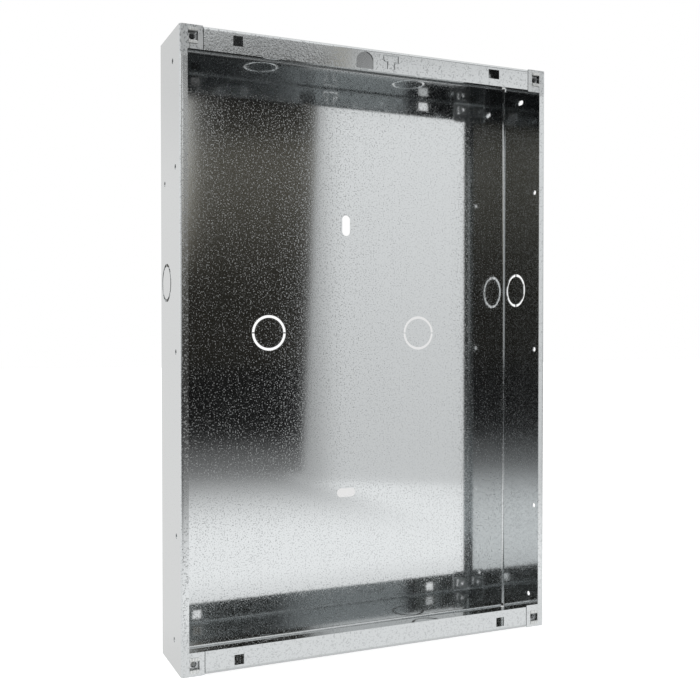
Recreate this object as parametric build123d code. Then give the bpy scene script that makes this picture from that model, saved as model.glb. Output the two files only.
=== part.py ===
from build123d import *
import os

# Flush mounting box folded from one galvanised sheet, open at the front, with a cage nut in each corner tab.
# Millimetres. Z is up, the open front faces -Y and the box stands on its bottom wall.
# The origin is on the ground, below the middle of the width and of the whole depth, cage lips included.

# Box and sheet
box_width = 400.0
box_height = 600.0
box_depth = 80.0
sheet = 1.2
inner_bend = 2.0
corner_seam = 0.5  # open seam between the end of a top or bottom wall and the side wall
corner_relief = 0.6  # notch between the bends at each rear corner

# Front edge: narrow lips on the side walls, widening to tabs at the corners, and flanges between the tabs
flange_height = 22.0
lip_width = 7.5
tab_width = 22.0
tab_seam = 0.7  # between a tab and the flange beside it
right_tab_overhang = 1.6  # the right-hand tabs reach a little further into the opening than the flanges

# Square holes for cage nuts, in the tabs and in the flanges
square_hole = 9.5
square_hole_land = 2.05  # from the flange's bend to the hole
tab_hole_margin = 4.75  # from the tab's inner edge to the hole
flange_hole_inset = 55.5  # from the outside of the side wall to the hole's centre
wide_hole_width = 13.0  # the flange hole at the top right is an oblong
wide_hole_inset = 65.0

# Pressed features of the top flange, side by side about its middle
tongue_offset = 14.25  # from the middle of the flange to the centre of each
dee_width = 18.4  # half-sheared knockout with a round top
dee_top_land = 0.6  # from the flange's bend to its tip
dee_bottom_margin = 1.6
dee_press = 0.3  # how far its lower edge is pushed in
dee_land = 0.3  # sheet left unsheared, both at its tip, which is pushed in furthest, and below the groove
dee_groove = 0.5  # width of the shear groove round it
tee_head_width = 17.4  # lanced T-shaped tongue, held at the foot of its stem
tee_head_height = 7.4
tee_stem_width = 9.0
tee_top_land = 1.4  # from the flange's bend to its head
tee_bottom_margin = 3.4
tee_slit = 1.15
tee_head_radius = 3.2

# Knockouts: a ring slit broken by two bridges
knockout_diameter = 37.0
knockout_slit = 2.8
knockout_bridge = 1.2
knockout_rear_gap = 7.5  # from the back of the box to the ring, in the four walls
back_knockout_offset = 87.5  # either side of the middle of the back
back_knockout_rise = 18.0  # above mid-height
end_knockout_offset = 87.5  # either side of the middle of the top and bottom walls
side_knockout_rise = 66.0  # above mid-height

# Slots in the back for the wall screws
slot_length = 22.0
slot_width = 9.5
upper_slot_rise = 133.0  # upright slot, above mid-height
lower_slot_drop = 154.0  # level slot, below mid-height

# Round holes in the side walls
wall_hole = 5.0
wall_hole_setback = 17.5  # from the front plane
wall_hole_pitch = 172.0  # three holes up the wall
end_hole_setback = 27.0
end_hole_inset = 28.0  # from the top and bottom of the box
rear_hole_gap = 19.5  # single hole in the left wall, from the back of the box
rear_hole_rise = 162.0
earth_slot_length = 9.5  # in the right wall near the top, in place of the round hole
earth_slot_width = 5.0
earth_slot_setback = 45.0
earth_slot_inset = 24.0

# Cage of a cage nut, bent from spring strip
cage_sheet = 0.6
cage_inner_bend = 0.05
cage_lip = 2.6  # reach of the front lip past the edge of the hole
cage_tip_round = 0.4
cage_grip = 0.1  # clearance to the tab, in front and behind
cage_clearance = 0.15  # from the cage's arms to the edge of the hole
cage_side_clearance = 0.45
cage_shoulder = 1.0  # step behind the tab
cage_depth = 7.0  # from the back of the tab to the middle of the cage's floor
flap_length = 3.6
flap_height = 5.0

# Nut
nut_float = 0.3
nut_seat = 0.1  # clearance to the cage's floor
nut_thickness = 4.2
nut_face_setback = 0.35  # from the nut's flats to its round front face
nut_chamfer_drop = 0.55  # fall of the front chamfer for each millimetre of radius
thread_bore = 5.0
thread_chamfer = 0.6  # at the front
screw_clearance = 0.8  # of the cage's floor round the thread

# Worked out from the sizes above
outer_bend = inner_bend + sheet
half_width = box_width / 2
mid_height = box_height / 2
cage_proud = cage_sheet + cage_grip
cage_lip_bend = cage_grip + cage_clearance  # inside of the bend into a lip, clear of the edge of the hole
front_y = -(box_depth - cage_proud) / 2
back_y = front_y + box_depth
tab_heights = {-1: flange_height, 1: flange_height + right_tab_overhang}
hole_inset = outer_bend + square_hole_land + square_hole / 2
nut_x = half_width - tab_width + tab_hole_margin + square_hole / 2
knockout_setback = box_depth - knockout_rear_gap - knockout_diameter / 2
cut_depth = 2 * sheet
dee_top = box_height - outer_bend - dee_top_land
dee_foot = box_height - flange_height + dee_bottom_margin
levels = {"top": box_height - hole_inset, "bottom": hole_inset}
hands = {"left": -1, "right": 1}

# The walls as drawing planes. Front and back read (X, Z), sides (depth, Z), top and bottom (X, depth).
front_plane = Plane((0, front_y, 0), x_dir=(1, 0, 0), z_dir=(0, -1, 0))
back_plane = Plane((0, back_y, 0), x_dir=(1, 0, 0), z_dir=(0, -1, 0))
side_planes = {side: Plane((side * half_width, front_y, 0), x_dir=(0, 1, 0), z_dir=(1, 0, 0))
               for side in (-1, 1)}
end_planes = [Plane((0, front_y, z), x_dir=(1, 0, 0), z_dir=(0, 0, 1)) for z in (0, box_height)]


def fold(points):
    """Section of the sheet along a folded line that runs clockwise on the outside of the bends."""
    outside = FilletPolyline(*points, radius=outer_bend)
    return make_face(offset(outside, amount=sheet, side=Side.RIGHT).edges())


def block(x, y, z):
    """Rectangular solid between two limits on each axis, given in either order."""
    spans = [sorted(limits) for limits in (x, y, z)]
    middle = [(low + high) / 2 for low, high in spans]
    return Pos(*middle) * Box(*[high - low for low, high in spans])


def through(plane, sketch):
    """Cutter for a hole of this outline in the wall that lies on the plane."""
    return extrude(plane * sketch, amount=cut_depth, both=True)


def side_channel():
    """Back panel, side walls, lips and corner tabs: a plan section carried up the height of the box."""
    tab_end = half_width - tab_width
    plan = fold([(-tab_end, front_y), (-half_width, front_y), (-half_width, back_y),
                 (half_width, back_y), (half_width, front_y), (tab_end, front_y)])
    channel = extrude(plan, amount=box_height)
    for side, tab_height in tab_heights.items():
        beyond_lip = (side * tab_end, side * (half_width - lip_width))
        between_tabs = (tab_height, box_height - tab_height)
        channel -= block(beyond_lip, (front_y, front_y + sheet), between_tabs)
    rear = (back_y - outer_bend, back_y)
    notch = outer_bend + corner_relief
    for height in ((0, notch), (box_height - notch, box_height)):
        channel -= block((-half_width, half_width), rear, height)
    return channel


def end_channel():
    """Top and bottom walls with their flanges: a side section carried across, between the side walls."""
    section = fold([(front_y, box_height - flange_height), (front_y, box_height), (back_y, box_height),
                    (back_y, 0), (front_y, 0), (front_y, flange_height)])
    wall_end = half_width - sheet - corner_seam
    channel = extrude(Plane.YZ * section, amount=wall_end, both=True)
    flange_end = half_width - tab_width - tab_seam
    bend_end = half_width - outer_bend - corner_relief
    height = (0, box_height)
    for side in (-1, 1):
        channel -= block((side * flange_end, side * wall_end), (front_y, front_y + outer_bend), height)
        channel -= block((side * bend_end, side * wall_end), (back_y - outer_bend, back_y), height)
    return channel


def knockout():
    """Ring slit left joined by two bridges on the sketch's x axis."""
    outer = knockout_diameter / 2
    return Circle(outer) - Circle(outer - knockout_slit) - Rectangle(knockout_diameter, knockout_bridge)


def knockout_cutters():
    """Knockouts: two in the back, the top and the bottom, one in each side wall."""
    cutters = []
    for side in (-1, 1):
        back_spot = Pos(side * back_knockout_offset, mid_height + back_knockout_rise)
        cutters.append(through(back_plane, back_spot * knockout()))
        side_spot = Pos(knockout_setback, mid_height + side_knockout_rise)
        cutters.append(through(side_planes[side], side_spot * Rot(0, 0, 90) * knockout()))
        for plane in end_planes:
            cutters.append(through(plane, Pos(side * end_knockout_offset, knockout_setback) * knockout()))
    return cutters


def fixing_cutters():
    """Slots in the back and small holes in the side walls."""
    slot = SlotOverall(slot_length, slot_width)
    cutters = [through(back_plane, Pos(0, mid_height + upper_slot_rise) * Rot(0, 0, 90) * slot),
               through(back_plane, Pos(0, mid_height - lower_slot_drop) * slot)]
    hole = Circle(wall_hole / 2)
    for side, plane in side_planes.items():
        for step in (-1, 0, 1):
            spot = Pos(wall_hole_setback, mid_height + step * wall_hole_pitch)
            cutters.append(through(plane, spot * hole))
        cutters.append(through(plane, Pos(end_hole_setback, end_hole_inset) * hole))
    upper_spot = Pos(end_hole_setback, box_height - end_hole_inset)
    rear_spot = Pos(box_depth - rear_hole_gap, mid_height + rear_hole_rise)
    earth_spot = Pos(earth_slot_setback, box_height - earth_slot_inset)
    cutters.append(through(side_planes[-1], upper_spot * hole))
    cutters.append(through(side_planes[-1], rear_spot * hole))
    cutters.append(through(side_planes[1], earth_spot * SlotOverall(earth_slot_length, earth_slot_width)))
    return cutters


def square_cutters():
    """Square holes in the tabs and flanges, with the oblong one at the top right."""
    square = Rectangle(square_hole, square_hole)
    oblong = Rectangle(wide_hole_width, square_hole)
    cutters = []
    for level, z in levels.items():
        for hand, side in hands.items():
            cutters.append(through(front_plane, Pos(side * nut_x, z) * square))
            wide = (level, hand) == ("top", "right")
            inset = wide_hole_inset if wide else flange_hole_inset
            outline = oblong if wide else square
            cutters.append(through(front_plane, Pos(side * (half_width - inset), z) * outline))
    return cutters


def tee_cutter():
    """Slit round the T-shaped tongue, open at the foot of the stem."""
    top = box_height - outer_bend - tee_top_land
    foot = box_height - flange_height + tee_bottom_margin
    head_foot = top - tee_head_height
    head = Pos(0, (top + head_foot) / 2) * Rectangle(tee_head_width, tee_head_height)
    stem = Pos(0, (head_foot + foot) / 2) * Rectangle(tee_stem_width, head_foot - foot)
    tee = head + stem
    head_corner = tee.vertices().sort_by(Axis.X)[:2].sort_by(Axis.Y)[0]
    tee = fillet(head_corner, radius=tee_head_radius)
    tongue = offset(tee, amount=-tee_slit, kind=Kind.INTERSECTION)
    hinge = Pos(0, foot + tee_slit / 2) * Rectangle(tee_stem_width - 2 * tee_slit, 2 * tee_slit)
    return through(front_plane, Pos(tongue_offset, 0) * (tee - tongue - hinge))


def dee_outline(margin):
    """Round-topped outline, drawn in by a margin."""
    radius = dee_width / 2 - margin
    centre = dee_top - margin - radius
    foot = dee_foot + margin
    lower = Pos(0, (centre + foot) / 2) * Rectangle(2 * radius, centre - foot)
    return Pos(-tongue_offset, 0) * (lower + Pos(0, centre) * Circle(radius))


def dee_tools():
    """Round-topped knockout: its hole, the slug left in it, pushed in and leaning back, and the groove."""
    prism = through(front_plane, dee_outline(0))
    rim = dee_outline(0) - dee_outline(dee_groove)
    groove = extrude(front_plane * rim, amount=dee_land - sheet)
    pressed_tip = front_y + sheet - dee_land
    pressed_foot = front_y + dee_press
    lean = make_face(Polyline((pressed_foot, dee_foot), (pressed_tip, dee_top),
                              (pressed_tip + sheet, dee_top), (pressed_foot + sheet, dee_foot), close=True))
    slab = Pos(-tongue_offset, 0, 0) * extrude(Plane.YZ * lean, amount=dee_width, both=True)
    return prism, prism & slab, groove


def box_body():
    """The folded sheet: the two channels share the back panel, and every hole goes through one wall."""
    body = side_channel() + end_channel()
    dee_hole, dee_slug, groove = dee_tools()
    cutters = knockout_cutters() + fixing_cutters() + square_cutters() + [tee_cutter(), dee_hole]
    return body - cutters + dee_slug - groove


# The cage and nut are drawn about the centre of their hole, with Y counted back from the tab's front face.
lip_y = -cage_grip - cage_sheet / 2
shoulder_y = sheet + cage_grip + cage_sheet / 2
floor_y = sheet + cage_depth
arm_z = square_hole / 2 - cage_clearance - cage_sheet / 2
wall_z = arm_z + cage_shoulder
lip_z = square_hole / 2 + cage_lip
nut_side = 2 * (wall_z - cage_sheet / 2 - nut_float)
nut_back = floor_y - cage_sheet / 2 - nut_seat
nut_front = nut_back - nut_thickness


def strip(points, inner_bends):
    """Section of the cage's strip along the middle of a bent line."""
    return trace(FilletPolyline(*points, radius=[bend + cage_sheet / 2 for bend in inner_bends]),
                 line_width=cage_sheet)


def cage():
    """Cage: lips over the tab, arms through the hole, a box behind it, and flaps that keep the nut in."""
    upper = [(lip_y, lip_z), (lip_y, arm_z), (shoulder_y, arm_z), (shoulder_y, wall_z), (floor_y, wall_z)]
    lower = [(y, -z) for y, z in reversed(upper)]
    bends = [cage_lip_bend] + [cage_inner_bend] * 6 + [cage_lip_bend]
    clip_half = square_hole / 2 - cage_side_clearance
    clip = extrude(Plane.YZ * strip(upper + lower, bends), amount=clip_half, both=True)
    front_edges = clip.edges().filter_by(Axis.X).group_by(Axis.Y)[0].sort_by(Axis.Z)
    clip = fillet([front_edges[0], front_edges[-1]], radius=cage_tip_round)
    flap_x = nut_side / 2 + nut_float + cage_sheet / 2
    flap_y = floor_y - flap_length
    cradle = strip([(-flap_x, flap_y), (-flap_x, floor_y), (flap_x, floor_y), (flap_x, flap_y)],
                   [cage_inner_bend] * 2)
    cradle = extrude(cradle, amount=flap_height / 2, both=True)
    screw_hole = Circle(thread_bore / 2 + screw_clearance)
    return clip + cradle - extrude(Plane.XZ.offset(-floor_y) * screw_hole, amount=cage_sheet, both=True)


def nut():
    """Square nut: a square bar met by a turned section with a chamfered face and a bore countersunk there."""
    bore = thread_bore / 2
    mouth = bore + thread_chamfer
    face = nut_side / 2 - nut_face_setback
    reach = nut_side
    turned = make_face(Polyline((mouth, nut_front), (face, nut_front),
                                (reach, nut_front + nut_chamfer_drop * (reach - face)), (reach, nut_back),
                                (bore, nut_back), (bore, nut_front + thread_chamfer), close=True))
    bar = extrude(Plane.XZ * Rectangle(nut_side, nut_side), amount=-nut_back)
    return revolve(turned, axis=Axis.Y) & bar


def build():
    """Every piece by name, in place."""
    pieces = {"box_body": box_body()}
    cage_at_origin = cage()
    nut_at_origin = nut()
    for level, z in levels.items():
        for hand, side in hands.items():
            spot = Pos(side * nut_x, front_y, z)
            pieces[f"cage_{level}_{hand}"] = spot * cage_at_origin
            pieces[f"nut_{level}_{hand}"] = spot * nut_at_origin
    return pieces


os.makedirs("parts", exist_ok=True)
for name, piece in build().items():
    export_step(piece, f"parts/{name}.step")
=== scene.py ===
import logging
import math
from dataclasses import dataclass, field
from enum import Enum
from typing import Any

import bmesh
import bpy
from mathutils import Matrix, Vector


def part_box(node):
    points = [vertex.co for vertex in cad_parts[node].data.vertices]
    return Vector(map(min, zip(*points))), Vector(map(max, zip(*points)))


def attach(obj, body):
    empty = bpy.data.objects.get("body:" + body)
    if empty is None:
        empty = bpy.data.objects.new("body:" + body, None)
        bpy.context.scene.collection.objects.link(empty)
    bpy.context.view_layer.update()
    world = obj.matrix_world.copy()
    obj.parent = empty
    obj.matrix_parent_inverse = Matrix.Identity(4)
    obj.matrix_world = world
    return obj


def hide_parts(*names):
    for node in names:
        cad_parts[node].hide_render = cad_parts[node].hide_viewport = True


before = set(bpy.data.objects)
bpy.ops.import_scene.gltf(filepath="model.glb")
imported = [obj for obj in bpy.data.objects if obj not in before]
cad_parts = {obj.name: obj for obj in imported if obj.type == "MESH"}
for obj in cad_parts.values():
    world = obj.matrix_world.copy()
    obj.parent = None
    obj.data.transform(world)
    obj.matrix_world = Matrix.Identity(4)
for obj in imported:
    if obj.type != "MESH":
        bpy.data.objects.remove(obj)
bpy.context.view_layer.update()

BODY = "root"
MM = 0.001
WHITE = (1.0, 1.0, 1.0, 1.0)
BLACK = (0.0, 0.0, 0.0, 1.0)
SMOOTH = {"interpolation_type": "SMOOTHSTEP"}
NOISE_MEAN = 0.5

log = logging.getLogger("flush_mounting_box")


class Slot(Enum):
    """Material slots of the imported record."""

    PLATED = "zinc_plated_steel"


class Level(Enum):
    """Rows of cage nuts."""

    TOP = "top"
    BOTTOM = "bottom"


class Hand(Enum):
    """Columns of cage nuts, as seen from the open front."""

    LEFT = "left"
    RIGHT = "right"


@dataclass(frozen=True)
class Fade:
    """Smooth change of a level from one place to another.

    Attributes:
        start: place where the level leaves its first value.
        end: place where it reaches its second value.
        first: level up to the start.
        second: level from the end on.
    """

    start: float
    end: float
    first: float = 0.0
    second: float = 1.0

    def along(self, value: bpy.types.NodeSocket) -> dict[int, Any]:
        """Gives the inputs of a Map Range node that fades along this value."""
        return {0: value, 1: self.start, 2: self.end, 3: self.first, 4: self.second}


def linear(hex_colour: str) -> tuple[float, float, float, float]:
    """Turns an sRGB hex colour into linear light.

    Args:
        hex_colour: colour written as "#rrggbb".

    Returns:
        Linear red, green, blue and an alpha of one.
    """
    channels = [int(hex_colour[i:i + 2], 16) / 255 for i in (1, 3, 5)]
    light = [c / 12.92 if c <= 0.04045 else ((c + 0.055) / 1.055) ** 2.4 for c in channels]
    return (light[0], light[1], light[2], 1.0)


def add(tree: bpy.types.NodeTree, kind: str, inputs: dict[Any, Any] | None = None,
        **settings: Any) -> bpy.types.Node:
    """Adds a node with its settings, values and links.

    Args:
        tree: the node tree that gets the node.
        kind: Blender's name of the node type.
        inputs: for each input, by name or number, a plain value or the output socket that feeds it.
        **settings: properties of the node itself.

    Returns:
        The new node.
    """
    node = tree.nodes.new(kind)
    for name, value in settings.items():
        setattr(node, name, value)
    for name, value in (inputs or {}).items():
        if isinstance(value, bpy.types.NodeSocket):
            tree.links.new(value, node.inputs[name])
        else:
            node.inputs[name].default_value = value
    return node


def empty_material(name: str) -> bpy.types.Material:
    """Makes a material with an empty node tree.

    Args:
        name: name of the material.

    Returns:
        The new material.
    """
    material = bpy.data.materials.new(name)
    material.use_nodes = True
    material.node_tree.nodes.clear()
    return material


def product(tree: bpy.types.NodeTree, *fades: tuple[Fade, bpy.types.NodeSocket]) -> bpy.types.NodeSocket:
    """Multiplies fades, each along its own value.

    Args:
        tree: the node tree.
        *fades: each fade with the socket of the value that it follows.

    Returns:
        The socket with the product.
    """
    level = None
    for fade, value in fades:
        part = add(tree, "ShaderNodeMapRange", fade.along(value), **SMOOTH).outputs[0]
        if level is not None:
            part = add(tree, "ShaderNodeMath", {0: level, 1: part}, operation="MULTIPLY").outputs[0]
        level = part
    return level


@dataclass(frozen=True)
class GalvanisedSheet:
    """Hot-dipped zinc coating on steel sheet, lightly rolled and left bright.

    The eye sees an almost mirror-bright grey, broken by a fine dull grain, by faint streaks up the rolling
    direction and by a few specks of dross. The lips at the front, which are handled most, are scuffed duller.
    """

    colour: str = "#d4d7d8"
    dull_colour: str = "#c5c8c9"
    edge_tint: str = "#eae9e8"  # at a glancing angle
    speck_colour: str = "#a09f9c"
    roughness: float = 0.07
    dull_roughness: float = 0.276
    glance: Fade = Fade(0.35, 0.70, 1.0, 0.15)  # the grain hardly shows at a low angle
    front: Fade = Fade(-36.5 * MM, -38.5 * MM)  # over Y; the lips, tabs and flanges
    lip_scuff: Fade = Fade(187.0 * MM, 192.0 * MM, 0.02, 0.10)  # over the distance from the middle
    tab_scuff: Fade = Fade(177.6 * MM, 178.2 * MM, 0.0, 0.30)  # on the tabs at the top
    top_part: Fade = Fade(570.0 * MM, 577.0 * MM)  # over Z
    tongue_place: tuple[float, float] = (-14.25 * MM, 587.0 * MM)  # middle of its round end, in X and Z
    tongue_side: Fade = Fade(9.0 * MM, 8.6 * MM)  # over the distance from there
    tongue_foot: Fade = Fade(579.6 * MM, 580.0 * MM)  # over Z
    tongue_shade_colour: str = "#b0b2b3"  # painted shade: the pressed-in tongue is coloured darker than the flange around it
    grain_mm: float = 1.5  # drawn about twice as coarse as the real grain, so that it shows
    grain_height_mm: float = 0.006
    worked_part: Fade = Fade(-85.0 * MM, -45.0 * MM, 1.0, 0.06)  # over X; the top flange, mostly its left end
    worked_relief: float = 13.0  # times the height of the grain, added
    worked_scuff: float = 0.05
    worked_rub: float = 0.42  # added to the roughness of its dull grain
    grain_dull: Fade = Fade(0.52, 0.68)  # over the noise
    streak_mm: float = 2.2
    streak_length_mm: float = 160.0
    streak_lift: float = 0.1
    noise_detail: float = 1.0
    speck_spacing_mm: float = 7.0
    speck_edge: Fade = Fade(0.05, 0.03)  # over the distance from its middle, in spacings
    speck_share: float = 0.07

    def build_grain(self, tree: bpy.types.NodeTree,
                    place: bpy.types.NodeSocket) -> tuple[bpy.types.NodeSocket, bpy.types.NodeSocket]:
        """Draws the grain of the coating, with streaks up the sheet.

        Args:
            tree: the material's node tree.
            place: the place on the sheet.

        Returns:
            The sockets of the grain's height and of its dull share.
        """
        grain = add(tree, "ShaderNodeTexNoise", {"Vector": place, "Scale": 1 / (self.grain_mm * MM),
                                                 "Detail": self.noise_detail}).outputs["Fac"]
        squeeze = self.streak_mm / self.streak_length_mm
        lengthwise = add(tree, "ShaderNodeMapping",
                         {"Vector": place, "Scale": (1.0, 1.0, squeeze)}).outputs[0]
        streak = add(tree, "ShaderNodeTexNoise", {"Vector": lengthwise, "Scale": 1 / (self.streak_mm * MM),
                                                  "Detail": self.noise_detail}).outputs["Fac"]
        lift = add(tree, "ShaderNodeMath", {0: streak, 1: NOISE_MEAN}, operation="SUBTRACT").outputs[0]
        lifted = add(tree, "ShaderNodeMath", {0: lift, 1: self.streak_lift, 2: grain},
                     operation="MULTIPLY_ADD").outputs[0]
        facing = add(tree, "ShaderNodeLayerWeight").outputs["Facing"]
        return grain, product(tree, (self.grain_dull, lifted), (self.glance, facing))

    def build_specks(self, tree: bpy.types.NodeTree, place: bpy.types.NodeSocket) -> bpy.types.NodeSocket:
        """Draws the specks of dross.

        Args:
            tree: the material's node tree.
            place: the place on the sheet.

        Returns:
            The socket that is one on a speck.
        """
        cell = add(tree, "ShaderNodeTexVoronoi", {"Vector": place, "Scale": 1 / (self.speck_spacing_mm * MM)})
        inside = product(tree, (self.speck_edge, cell.outputs["Distance"]))
        draw = add(tree, "ShaderNodeSeparateColor", {0: cell.outputs["Color"]}).outputs[0]
        chosen = add(tree, "ShaderNodeMath", {0: draw, 1: self.speck_share}, operation="LESS_THAN").outputs[0]
        return add(tree, "ShaderNodeMath", {0: inside, 1: chosen}, operation="MULTIPLY").outputs[0]

    def build_tongue(self, tree: bpy.types.NodeTree, place: bpy.types.NodeSocket) -> bpy.types.NodeSocket:
        """Marks the round-ended tongue in the top flange.

        Args:
            tree: the material's node tree.
            place: the place on the sheet.

        Returns:
            The socket that is one on the tongue.
        """
        axes = add(tree, "ShaderNodeSeparateXYZ", {0: place}).outputs
        middle_x, middle_z = self.tongue_place
        off_x = add(tree, "ShaderNodeMath", {0: axes["X"], 1: middle_x}, operation="SUBTRACT").outputs[0]
        off_z = add(tree, "ShaderNodeMath", {0: axes["Z"], 1: middle_z}, operation="SUBTRACT").outputs[0]
        over = add(tree, "ShaderNodeMath", {0: off_z, 1: 0.0}, operation="MAXIMUM").outputs[0]
        off = add(tree, "ShaderNodeCombineXYZ", {"X": off_x, "Z": over}).outputs[0]
        off = add(tree, "ShaderNodeVectorMath", {0: off}, operation="LENGTH").outputs["Value"]
        return product(tree, (self.tongue_side, off), (self.tongue_foot, axes["Z"]), (self.front, axes["Y"]))

    def build(self) -> bpy.types.Material:
        """Builds the material.

        Returns:
            The finished material.
        """
        material = empty_material("galvanised_sheet_bright")
        tree = material.node_tree
        place = add(tree, "ShaderNodeTexCoord").outputs["Object"]
        axes = add(tree, "ShaderNodeSeparateXYZ", {0: place}).outputs
        aside = add(tree, "ShaderNodeMath", {0: axes["X"]}, operation="ABSOLUTE").outputs[0]
        grain, dull = self.build_grain(tree, place)
        front = product(tree, (self.front, axes["Y"]))
        worked = product(tree, (self.top_part, axes["Z"]), (self.front, axes["Y"]),
                         (self.worked_part, axes["X"]))

        relief = add(tree, "ShaderNodeMath", {0: worked, 1: self.worked_relief, 2: 1.0},
                     operation="MULTIPLY_ADD").outputs[0]
        dents = add(tree, "ShaderNodeMath", {0: grain, 1: relief}, operation="MULTIPLY").outputs[0]
        bump = add(tree, "ShaderNodeBump", {"Height": dents, "Strength": 1.0,
                                            "Distance": self.grain_height_mm * MM}).outputs["Normal"]

        colour = add(tree, "ShaderNodeMix", {0: dull, 6: linear(self.colour), 7: linear(self.dull_colour)},
                     data_type="RGBA").outputs[2]
        # the specks are dross; the tongue's darker colour is painted shade
        for share, laid in ((self.build_specks(tree, place), self.speck_colour),
                            (self.build_tongue(tree, place), self.tongue_shade_colour)):
            colour = add(tree, "ShaderNodeMix", {0: share, 6: colour, 7: linear(laid)},
                         data_type="RGBA").outputs[2]

        lip = product(tree, (self.lip_scuff, aside))
        tab = product(tree, (self.tab_scuff, aside), (self.top_part, axes["Z"]), (self.front, axes["Y"]))
        scuff = add(tree, "ShaderNodeMath", {0: tab, 1: lip}, operation="ADD").outputs[0]
        rub = add(tree, "ShaderNodeMath", {0: dull, 1: self.worked_rub, 2: self.worked_scuff},
                  operation="MULTIPLY_ADD").outputs[0]
        scuff = add(tree, "ShaderNodeMath", {0: worked, 1: rub, 2: scuff},
                    operation="MULTIPLY_ADD").outputs[0]
        rough = add(tree, "ShaderNodeMix", {0: dull, 2: self.roughness, 3: self.dull_roughness}).outputs[0]
        rough = add(tree, "ShaderNodeMath", {0: front, 1: scuff, 2: rough},
                    operation="MULTIPLY_ADD").outputs[0]
        shader = add(tree, "ShaderNodeBsdfPrincipled",
                     {"Base Color": colour, "Metallic": 1.0, "Specular Tint": linear(self.edge_tint),
                      "Roughness": rough, "Normal": bump})
        add(tree, "ShaderNodeOutputMaterial", {"Surface": shader.outputs["BSDF"]})
        return material


@dataclass(frozen=True)
class SpringSteel:
    """Cold-rolled spring strip with a thin bright plating.

    The eye sees fine lines along the strip's length and a soft shine that is brightest on the bends.
    """

    colour: str = "#eceeed"
    line_colour: str = "#cfd1d0"
    roughness: float = 0.55
    line_roughness: float = 0.65
    line_mm: float = 0.35
    line_length_mm: float = 9.0
    line_detail: float = 2.0
    line_dull: Fade = Fade(0.4, 0.65)  # over the noise

    def build(self) -> bpy.types.Material:
        """Builds the material.

        Returns:
            The finished material.
        """
        material = empty_material("spring_steel_strip")
        tree = material.node_tree
        place = add(tree, "ShaderNodeTexCoord").outputs["Object"]
        squeeze = self.line_mm / self.line_length_mm
        along = add(tree, "ShaderNodeMapping", {"Vector": place, "Scale": (1.0, squeeze, squeeze)}).outputs[0]
        lines = add(tree, "ShaderNodeTexNoise", {"Vector": along, "Scale": 1 / (self.line_mm * MM),
                                                 "Detail": self.line_detail}).outputs["Fac"]
        dull = product(tree, (self.line_dull, lines))
        colour = add(tree, "ShaderNodeMix", {0: dull, 6: linear(self.colour), 7: linear(self.line_colour)},
                     data_type="RGBA").outputs[2]
        rough = add(tree, "ShaderNodeMix", {0: dull, 2: self.roughness, 3: self.line_roughness}).outputs[0]
        shader = add(tree, "ShaderNodeBsdfPrincipled",
                     {"Base Color": colour, "Metallic": 1.0, "Roughness": rough})
        add(tree, "ShaderNodeOutputMaterial", {"Surface": shader.outputs["BSDF"]})
        return material


@dataclass(frozen=True)
class ZincPlate:
    """Electroplated zinc with a clear passivation, on a pressed steel nut.

    The eye sees a satin silver, with small duller patches where the nuts rubbed together in the barrel.
    """

    colour: str = "#dfe1e3"
    rubbed_colour: str = "#b9bbbb"
    roughness: float = 0.3
    rubbed_roughness: float = 0.5
    patch_mm: float = 0.9
    patch_detail: float = 3.0
    patch_rubbed: Fade = Fade(0.45, 0.65)  # over the noise
    patch_height_mm: float = 0.01

    def build(self) -> bpy.types.Material:
        """Builds the material.

        Returns:
            The finished material.
        """
        material = empty_material("zinc_plated_nut")
        tree = material.node_tree
        place = add(tree, "ShaderNodeTexCoord").outputs["Object"]
        patch = add(tree, "ShaderNodeTexNoise", {"Vector": place, "Scale": 1 / (self.patch_mm * MM),
                                                 "Detail": self.patch_detail}).outputs["Fac"]
        rubbed = product(tree, (self.patch_rubbed, patch))
        bump = add(tree, "ShaderNodeBump", {"Height": patch, "Strength": 1.0,
                                            "Distance": self.patch_height_mm * MM}).outputs["Normal"]
        colour = add(tree, "ShaderNodeMix",
                     {0: rubbed, 6: linear(self.colour), 7: linear(self.rubbed_colour)},
                     data_type="RGBA").outputs[2]
        rough = add(tree, "ShaderNodeMix",
                    {0: rubbed, 2: self.roughness, 3: self.rubbed_roughness}).outputs[0]
        shader = add(tree, "ShaderNodeBsdfPrincipled",
                     {"Base Color": colour, "Metallic": 1.0, "Roughness": rough, "Normal": bump})
        add(tree, "ShaderNodeOutputMaterial", {"Surface": shader.outputs["BSDF"]})
        return material


@dataclass
class BoxBody:
    """The folded sheet, which keeps its CAD mesh and gets its finish."""

    node: str = "box_body"
    finish: GalvanisedSheet = field(default_factory=GalvanisedSheet)

    def build(self) -> None:
        """Dresses the sheet."""
        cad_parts[self.node].material_slots[0].material = self.finish.build()
        log.info("dressed %s", self.node)


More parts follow.
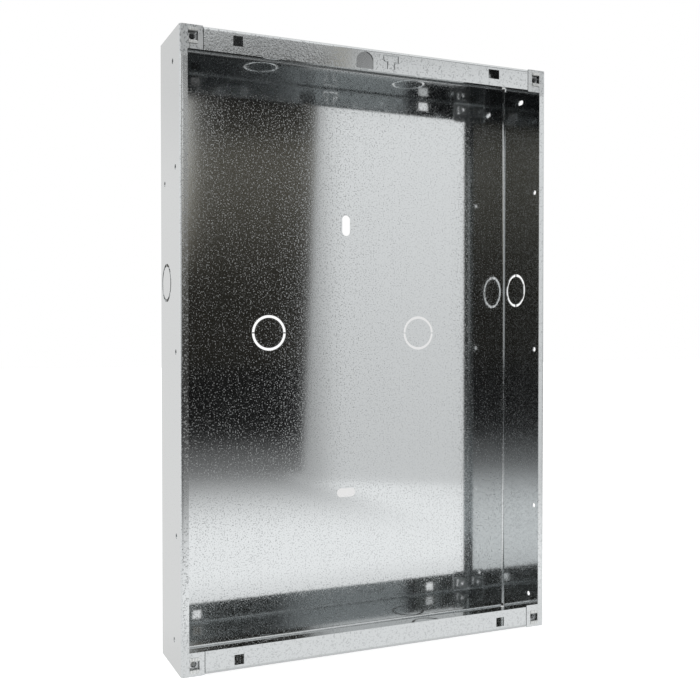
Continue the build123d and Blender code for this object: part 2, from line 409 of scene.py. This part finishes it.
@dataclass
class NutThread:
    """Helical ridge of the thread inside a nut, made by one node tree for all the nuts."""

    crest_radius_m: float = 2.5 * MM
    root_radius_m: float = 3.0 * MM
    pitch_m: float = 1.0 * MM
    ridge_m: float = 0.43 * MM  # from the middle of the ridge's section to its crest
    ridge_sides: int = 3
    end_margin_m: float = 0.4 * MM
    steps_per_turn: int = 24

    def build_tree(self) -> bpy.types.NodeTree:
        """Builds the node tree that adds the ridge to a nut.

        Returns:
            The tree, with the sizes as its named inputs.
        """
        tree = bpy.data.node_groups.new("nut_thread", "GeometryNodeTree")
        sockets = [("Nut", "NodeSocketGeometry"), ("Start", "NodeSocketVector"),
                   ("Length", "NodeSocketFloat"), ("Pitch", "NodeSocketFloat"),
                   ("Crest Radius", "NodeSocketFloat"), ("Ridge", "NodeSocketFloat"),
                   ("Steps", "NodeSocketInt"), ("Finish", "NodeSocketMaterial")]
        for name, kind in sockets:
            tree.interface.new_socket(name, in_out="INPUT", socket_type=kind)
        tree.interface.new_socket("Threaded Nut", in_out="OUTPUT", socket_type="NodeSocketGeometry")
        given = add(tree, "NodeGroupInput").outputs
        turns = add(tree, "ShaderNodeMath", {0: given["Length"], 1: given["Pitch"]},
                    operation="DIVIDE").outputs[0]
        middle = add(tree, "ShaderNodeMath", {0: given["Crest Radius"], 1: given["Ridge"]},
                     operation="ADD").outputs[0]
        helix = add(tree, "GeometryNodeCurveSpiral",
                    {"Resolution": given["Steps"], "Rotations": turns, "Start Radius": middle,
                     "End Radius": middle, "Height": given["Length"],
                     "Reverse": True}).outputs[0]  # right-handed
        helix = add(tree, "GeometryNodeSetCurveNormal", {"Curve": helix}, mode="Z_UP").outputs[0]
        section = add(tree, "GeometryNodeCurvePrimitiveCircle",
                      {"Resolution": self.ridge_sides, "Radius": given["Ridge"]}).outputs[0]
        section = add(tree, "GeometryNodeTransform",
                      {"Geometry": section, "Rotation": (0.0, 0.0, math.pi)}).outputs[0]  # crest to the axis
        ridge = add(tree, "GeometryNodeCurveToMesh",
                    {"Curve": helix, "Profile Curve": section, "Fill Caps": True}).outputs[0]
        ridge = add(tree, "GeometryNodeTransform",
                    {"Geometry": ridge, "Translation": given["Start"],
                     "Rotation": (-math.pi / 2, 0.0, 0.0)}).outputs[0]
        joined = add(tree, "GeometryNodeJoinGeometry", {"Geometry": ridge})
        tree.links.new(given["Nut"], joined.inputs["Geometry"])
        plain = add(tree, "GeometryNodeRealizeInstances", {"Geometry": joined.outputs[0]}).outputs[0]
        finished = add(tree, "GeometryNodeSetMaterial",
                       {"Geometry": plain, "Material": given["Finish"]}).outputs[0]
        add(tree, "NodeGroupOutput", {"Threaded Nut": finished})
        return tree

    def cut(self, piece: bpy.types.Object, tree: bpy.types.NodeTree, low: Vector, high: Vector,
            finish: bpy.types.Material) -> None:
        """Gives a nut its thread, and leaves it as a plain mesh.

        Args:
            piece: the nut, with its bore opened to the root of the thread.
            tree: the tree from build_tree.
            low: lowest corner of the nut.
            high: highest corner of the nut.
            finish: the nut's material.
        """
        middle = (low + high) / 2
        sizes = {"Start": (middle.x, low.y + self.end_margin_m, middle.z),
                 "Length": high.y - low.y - 2 * self.end_margin_m, "Pitch": self.pitch_m,
                 "Crest Radius": self.crest_radius_m, "Ridge": self.ridge_m, "Steps": self.steps_per_turn,
                 "Finish": finish}
        modifier = piece.modifiers.new("thread", "NODES")
        modifier.node_group = tree
        for item in tree.interface.items_tree:
            if item.in_out == "INPUT" and item.name in sizes:
                modifier[item.identifier] = sizes[item.name]
        seen = piece.evaluated_get(bpy.context.evaluated_depsgraph_get())
        mesh = bpy.data.meshes.new_from_object(seen)
        piece.modifiers.remove(modifier)
        piece.data = mesh


@dataclass
class CageNut:
    """A square nut with its thread, in a spring cage behind a corner tab."""

    level: Level
    hand: Hand
    merge_m: float = 0.001 * MM

    def opened_copy(self, node: bpy.types.Object, middle: Vector, thread: NutThread) -> bpy.types.Mesh:
        """Copies a CAD nut, with its bore opened from the crest to the root of the thread.

        Args:
            node: the CAD nut.
            middle: middle of the nut.
            thread: sizes of the thread.

        Returns:
            The merged copy.
        """
        mesh = node.data.copy()
        work = bmesh.new()
        work.from_mesh(mesh)
        bmesh.ops.remove_doubles(work, verts=work.verts, dist=self.merge_m)
        for vert in work.verts:
            out = Vector((vert.co.x - middle.x, 0.0, vert.co.z - middle.z))
            if out.length < thread.root_radius_m:
                vert.co += out.normalized() * (thread.root_radius_m - out.length)
        work.to_mesh(mesh)
        work.free()
        return mesh

    def build(self, thread: NutThread, tree: bpy.types.NodeTree, spring: bpy.types.Material,
              plated: bpy.types.Material) -> None:
        """Dresses the cage, and puts a threaded nut in place of the plain one.

        Args:
            thread: sizes of the thread.
            tree: node tree of the thread.
            spring: finish of the cage.
            plated: finish of the nut.
        """
        spot = f"{self.level.value}_{self.hand.value}"
        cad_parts[f"cage_{spot}"].material_slots[0].material = spring
        node_name = f"nut_{spot}"
        low, high = (Vector(corner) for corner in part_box(node_name))
        mesh = self.opened_copy(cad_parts[node_name], (low + high) / 2, thread)
        piece = bpy.data.objects.new(f"threaded_nut_{spot}", mesh)
        bpy.context.scene.collection.objects.link(piece)
        thread.cut(piece, tree, low, high, plated)
        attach(piece, BODY)
        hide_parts(node_name)
        log.info("dressed cage_%s and built %s", spot, piece.name)


@dataclass
class Studio:
    """White table, diffuser card, overhead board, room and camera.

    The metal mirrors all of it: the card makes the bright right-hand part of the back, the table the bright
    foot, and the dim opening that the camera looks through the dark part. The levels count for rays that
    leave the metal. The camera itself sees white, apart from the shades behind the box's openings.
    """

    lens_mm: float = 48.85
    sensor_mm: float = 36.0
    camera_place: tuple[float, float, float] = (-0.4090, -0.8965, 0.3168)
    camera_yaw_deg: float = -23.835
    camera_pitch_deg: float = -0.963

    floor_half_m: float = 8.0
    paper_colour: str = "#e8e8e8"
    paper_glow: float = 0.5
    # painted light and shade on the table, in the glow that the metal mirrors: it falls off with the
    # distance, keeps a pool lit by the card, is lighter behind the box and darker at the foot and at the
    # right
    foot_shade: Fade = Fade(-0.10, -0.24, 0.85, 1.0)  # over Y, in front of the box
    table_edge: Fade = Fade(0.42, 1.2, 1.0, 0.2)  # over the distance from the box
    table_end: Fade = Fade(0.90, 2.10, 1.0, 0.04)
    right_shade: Fade = Fade(0.35, 0.75, 1.0, 0.86)  # over X
    lit_by_card: Fade = Fade(0.28, 0.40)  # over X, at the foot of the card
    card_throw: Fade = Fade(1.15, 1.0)  # over the distance from the box
    front_part: Fade = Fade(-0.2, -0.4)  # over Y
    behind_box: Fade = Fade(0.0, 0.15, 1.0, 1.06)  # over Y
    shadow_beside_foot: Fade = Fade(0.188, 0.196, 0.08, 1.0)  # over the distance from the middle; painted shadow under the box
    shadow_before_foot: Fade = Fade(0.029, 0.036, 0.08, 1.0)  # the same over Y
    shade_place: tuple[float, float, float] = (0.37, 0.90, 0.0)  # shade seen through the lower slot
    shade: Fade = Fade(0.32, 0.15)  # over the distance from there
    corner_place: tuple[float, float, float] = (0.2030, 0.0450, 0.0)  # behind the lower right open corner
    corner_painted_shadow: Fade = Fade(0.006, 0.011, 0.03, 1.0)  # painted shadow on the table, over the distance from there
    painted_sheen: Fade = Fade(0.52, 0.68)  # painted sheen: the table's mirrored glow is dim from above and full at a low angle
    steep_glow_level: Fade = Fade(-0.07, -0.12, 0.8, 0.12)  # painted sheen: level from above, over Y away from the foot of the box
    table_level: float = 1.16  # times all of these

    card_left: tuple[float, float] = (0.3239, -0.9347)  # in X and Y
    card_top_left: tuple[float, float] = (0.3656, -0.9082)  # its left edge leans
    card_right: tuple[float, float] = (1.000, -0.520)
    card_height_m: float = 1.2
    card_left_part: Fade = Fade(0.335, 0.40, 0.65, 1.0)  # over X
    card_rise: Fade = Fade(-0.1, 0.9, 0.80, 1.0)  # over Z
    card_top: Fade = Fade(0.75, 1.05, 1.0, 0.3)

    board_y: float = -0.940
    board_x: tuple[float, float] = (-0.6, 0.331)
    board_z: tuple[float, float] = (0.80, 1.25)
    board_foot: Fade = Fade(0.812, 0.93)  # over Z
    board_level: Fade = Fade(0.07, 0.17, 0.84, 0.58)  # over X

    opening_colour: str = "#fff6e0"
    opening_left: Fade = Fade(math.radians(-46), math.radians(-37))  # over the turn from straight ahead
    opening_right: Fade = Fade(math.radians(26), math.radians(21))
    opening_top: Fade = Fade(0.50, 0.42)  # over the rise, the sine of the angle above level
    opening_level: float = 0.02
    glimmer_level: float = 0.075  # pale strip across the opening
    glimmer_foot: Fade = Fade(0.03, 0.19)
    glimmer_top: Fade = Fade(0.215, 0.185)
    window_left: Fade = Fade(math.radians(-30), math.radians(-25))  # pale window in the opening
    window_right: Fade = Fade(math.radians(14.8), math.radians(13.4))
    window_sill: Fade = Fade(0.04, 0.22)
    window_level: float = 1.0
    side_level: Fade = Fade(0.0, 0.3, 0.5, 1.05)  # over the rise
    back_level: Fade = Fade(0.14, 0.26, 1.04, 0.95)  # over the rise
    back_part: Fade = Fade(-0.3, 0.2)  # over Y
    ring_way: tuple[float, float, float] = (0.468, 0.884, 0.0)  # through the right-hand ring of the back
    ring_shade: Fade = Fade(0.035, 0.06, 0.78, 1.0)  # over the distance from there
    corner_way: tuple[float, float, float] = (0.5282, 0.8132, 0.2445)  # through the upper right open corner
    corner_shade: Fade = Fade(0.006, 0.010, 0.02, 1.0)

    def build_camera(self) -> None:
        """Sets the camera up as in the photograph."""
        data = bpy.data.cameras.new("camera")
        data.lens = self.lens_mm
        data.sensor_width = self.sensor_mm
        camera = bpy.data.objects.new("camera", data)
        camera.location = self.camera_place
        camera.rotation_euler = (math.radians(90 + self.camera_pitch_deg), 0.0,
                                 math.radians(self.camera_yaw_deg))
        bpy.context.scene.collection.objects.link(camera)
        bpy.context.scene.camera = camera

    def stand(self, name: str, corners: list[tuple[float, float, float]],
              material: bpy.types.Material) -> bpy.types.Object:
        """Adds a flat stage piece.

        Args:
            name: name of the object.
            corners: its four corners.
            material: its finish.

        Returns:
            The new object.
        """
        mesh = bpy.data.meshes.new(name)
        mesh.from_pydata(corners, [], [(0, 1, 2, 3)])
        mesh.materials.append(material)
        piece = bpy.data.objects.new(name, mesh)
        bpy.context.scene.collection.objects.link(piece)
        return piece

    def build_floor(self) -> None:
        """Lays the white table, which ends in the dim opening in front. Its glow that the metal mirrors is
        painted light and shade, and the paper has painted shadows under and behind the box.
        """
        material = empty_material("white_table_paper")
        tree = material.node_tree
        place = add(tree, "ShaderNodeTexCoord").outputs["Object"]
        axes = add(tree, "ShaderNodeSeparateXYZ", {0: place}).outputs
        reach = add(tree, "ShaderNodeVectorMath", {0: place}, operation="LENGTH").outputs["Value"]
        # painted falloff of the table's glow, with a painted pool of light where the card shines
        far = product(tree, (self.table_edge, reach), (self.table_end, reach))
        lost = add(tree, "ShaderNodeMath", {0: 1.0, 1: far}, operation="SUBTRACT").outputs[0]
        lit = product(tree, (self.lit_by_card, axes["X"]), (self.card_throw, reach))
        unlit = add(tree, "ShaderNodeMath", {0: 1.0, 1: lit}, operation="SUBTRACT").outputs[0]
        for part in (unlit, product(tree, (self.front_part, axes["Y"]))):
            lost = add(tree, "ShaderNodeMath", {0: lost, 1: part}, operation="MULTIPLY").outputs[0]
        kept = add(tree, "ShaderNodeMath", {0: 1.0, 1: lost}, operation="SUBTRACT").outputs[0]
        # painted shade at the foot of the box and at the right, painted light behind it
        near = product(tree, (self.foot_shade, axes["Y"]), (self.behind_box, axes["Y"]),
                       (self.right_shade, axes["X"]))
        # painted sheen: the table's mirrored glow is dimmer for steep rays
        facing = add(tree, "ShaderNodeLayerWeight").outputs["Facing"]
        dull = product(tree, (self.steep_glow_level, axes["Y"]))
        painted_sheen = add(tree, "ShaderNodeMapRange", {**self.painted_sheen.along(facing), 3: dull}, **SMOOTH).outputs[0]

        # painted shadow under the box: the table's glow and colour are dark there
        aside = add(tree, "ShaderNodeMath", {0: axes["X"]}, operation="ABSOLUTE").outputs[0]
        along = add(tree, "ShaderNodeMath", {0: axes["Y"]}, operation="ABSOLUTE").outputs[0]
        clear = add(tree, "ShaderNodeMath", {0: product(tree, (self.shadow_beside_foot, aside)),
                                             1: product(tree, (self.shadow_before_foot, along))},
                    operation="MAXIMUM").outputs[0]
        off_corner, off_shade = (
            add(tree, "ShaderNodeVectorMath", {0: place, 1: spot}, operation="DISTANCE").outputs["Value"]
            for spot in (self.corner_place, self.shade_place))
        # painted shadow behind the lower right open corner
        clear = add(tree, "ShaderNodeMath", {0: clear, 1: product(tree, (self.corner_painted_shadow, off_corner))},
                    operation="MULTIPLY").outputs[0]
        level = kept
        for part in (near, painted_sheen, self.table_level, clear):
            level = add(tree, "ShaderNodeMath", {0: level, 1: part}, operation="MULTIPLY").outputs[0]
        open_part = add(tree, "ShaderNodeMath", {0: clear, 1: product(tree, (self.shade, off_shade))},
                        operation="SUBTRACT").outputs[0]
        paper_glow = add(tree, "ShaderNodeMath", {0: open_part, 1: self.paper_glow}, operation="MULTIPLY",
                         use_clamp=True).outputs[0]
        mirrored = add(tree, "ShaderNodeEmission", {"Color": WHITE, "Strength": level})
        glow = add(tree, "ShaderNodeEmission", {"Color": WHITE, "Strength": paper_glow})
        # the paper's colour is black in the painted shadows under the box and behind the open corner
        colour = add(tree, "ShaderNodeMix", {0: clear, 6: BLACK, 7: linear(self.paper_colour)},
                     data_type="RGBA").outputs[2]
        paper = add(tree, "ShaderNodeBsdfDiffuse", {"Color": colour})
        seen = add(tree, "ShaderNodeAddShader", {0: glow.outputs[0], 1: paper.outputs[0]})
        by_camera = add(tree, "ShaderNodeLightPath").outputs["Is Camera Ray"]
        surface = add(tree, "ShaderNodeMixShader", {0: by_camera, 1: mirrored.outputs[0], 2: seen.outputs[0]})
        add(tree, "ShaderNodeOutputMaterial", {"Surface": surface.outputs[0]})
        half = self.floor_half_m
        self.stand("floor", [(-half, -half, 0), (half, -half, 0), (half, half, 0), (-half, half, 0)],
                   material)

    def build_light(self, name: str, corners: list[tuple[float, float, float]],
                    over_x: list[Fade], over_z: list[Fade]) -> None:
        """Stands a glowing panel that the metal sees and the camera doesn't.

        Args:
            name: name of the panel.
            corners: its four corners.
            over_x: fades of its level along X.
            over_z: fades of its level along Z.
        """
        material = empty_material(name)
        tree = material.node_tree
        place = add(tree, "ShaderNodeTexCoord").outputs["Object"]
        axes = add(tree, "ShaderNodeSeparateXYZ", {0: place}).outputs
        level = product(tree, *((fade, axes["X"]) for fade in over_x),
                        *((fade, axes["Z"]) for fade in over_z))
        glow = add(tree, "ShaderNodeEmission", {"Color": WHITE, "Strength": level})
        add(tree, "ShaderNodeOutputMaterial", {"Surface": glow.outputs[0]})
        panel = self.stand(name, corners, material)
        panel.visible_camera = False
        panel.visible_shadow = False

    def build_panels(self) -> None:
        """Stands the diffuser card at the right of the camera, and the board above the opening."""
        left, right, top = self.card_left, self.card_right, self.card_height_m
        self.build_light("diffuser_card",
                         [(*left, 0), (*right, 0), (*right, top), (*self.card_top_left, top)],
                         [self.card_left_part], [self.card_rise, self.card_top])
        (x0, x1), y, (z0, z1) = self.board_x, self.board_y, self.board_z
        self.build_light("overhead_board", [(x0, y, z0), (x1, y, z0), (x1, y, z1), (x0, y, z1)],
                         [self.board_level], [self.board_foot])

    def build_world(self) -> None:
        """Gives the room: white all round, with the dim opening in front."""
        world = bpy.data.worlds.new("studio")
        bpy.context.scene.world = world
        world.use_nodes = True
        tree = world.node_tree
        tree.nodes.clear()
        way = add(tree, "ShaderNodeTexCoord").outputs["Generated"]
        axes = add(tree, "ShaderNodeSeparateXYZ", {0: way}).outputs
        ahead = add(tree, "ShaderNodeMath", {0: axes["Y"], 1: -1.0}, operation="MULTIPLY").outputs[0]
        turn = add(tree, "ShaderNodeMath", {0: axes["X"], 1: ahead}, operation="ARCTAN2").outputs[0]
        rise = axes["Z"]
        opening = product(tree, (self.opening_left, turn), (self.opening_right, turn),
                          (self.opening_top, rise))
        glimmer = product(tree, (self.glimmer_foot, rise), (self.glimmer_top, rise))
        dim = add(tree, "ShaderNodeMath", {0: glimmer, 1: self.glimmer_level, 2: self.opening_level},
                  operation="MULTIPLY_ADD").outputs[0]
        window = product(tree, (self.window_left, turn), (self.window_right, turn), (self.window_sill, rise))
        dim = add(tree, "ShaderNodeMix", {0: window, 2: dim, 3: self.window_level}).outputs[0]
        side = product(tree, (self.side_level, rise))
        behind = product(tree, (self.back_part, axes["Y"]))
        back = product(tree, (self.back_level, rise))
        room = add(tree, "ShaderNodeMix", {0: behind, 2: side, 3: back}).outputs[0]
        level = add(tree, "ShaderNodeMix", {0: opening, 2: room, 3: dim}).outputs[0]
        by_camera = add(tree, "ShaderNodeLightPath").outputs["Is Camera Ray"]
        off_ring, off_corner = (
            add(tree, "ShaderNodeVectorMath", {0: way, 1: spot}, operation="DISTANCE").outputs["Value"]
            for spot in (self.ring_way, self.corner_way))
        backdrop = product(tree, (self.ring_shade, off_ring), (self.corner_shade, off_corner))
        strength = add(tree, "ShaderNodeMix", {0: by_camera, 2: level, 3: backdrop}).outputs[0]
        plain = add(tree, "ShaderNodeMath", {0: window, 1: by_camera}, operation="MAXIMUM").outputs[0]
        warm = add(tree, "ShaderNodeMath", {0: opening, 1: plain}, operation="SUBTRACT",
                   use_clamp=True).outputs[0]
        tint = add(tree, "ShaderNodeMix", {0: warm, 6: WHITE, 7: linear(self.opening_colour)},
                   data_type="RGBA").outputs[2]
        light = add(tree, "ShaderNodeBackground", {"Color": tint, "Strength": strength})
        add(tree, "ShaderNodeOutputWorld", {"Surface": light.outputs[0]})

    def build(self) -> None:
        """Sets up the whole studio."""
        bpy.context.scene.view_settings.view_transform = "Standard"
        self.build_camera()
        self.build_floor()
        self.build_panels()
        self.build_world()


def main() -> None:
    """Builds the box's pieces in order and sets up the studio."""
    logging.basicConfig(level=logging.INFO, format="%(name)s: %(message)s")
    BoxBody().build()
    thread = NutThread()
    tree = thread.build_tree()
    spring = SpringSteel().build()
    plated = ZincPlate().build()
    for level in Level:
        for hand in Hand:
            CageNut(level, hand).build(thread, tree, spring, plated)
    Studio().build()


if __name__ == "__main__":
    main()
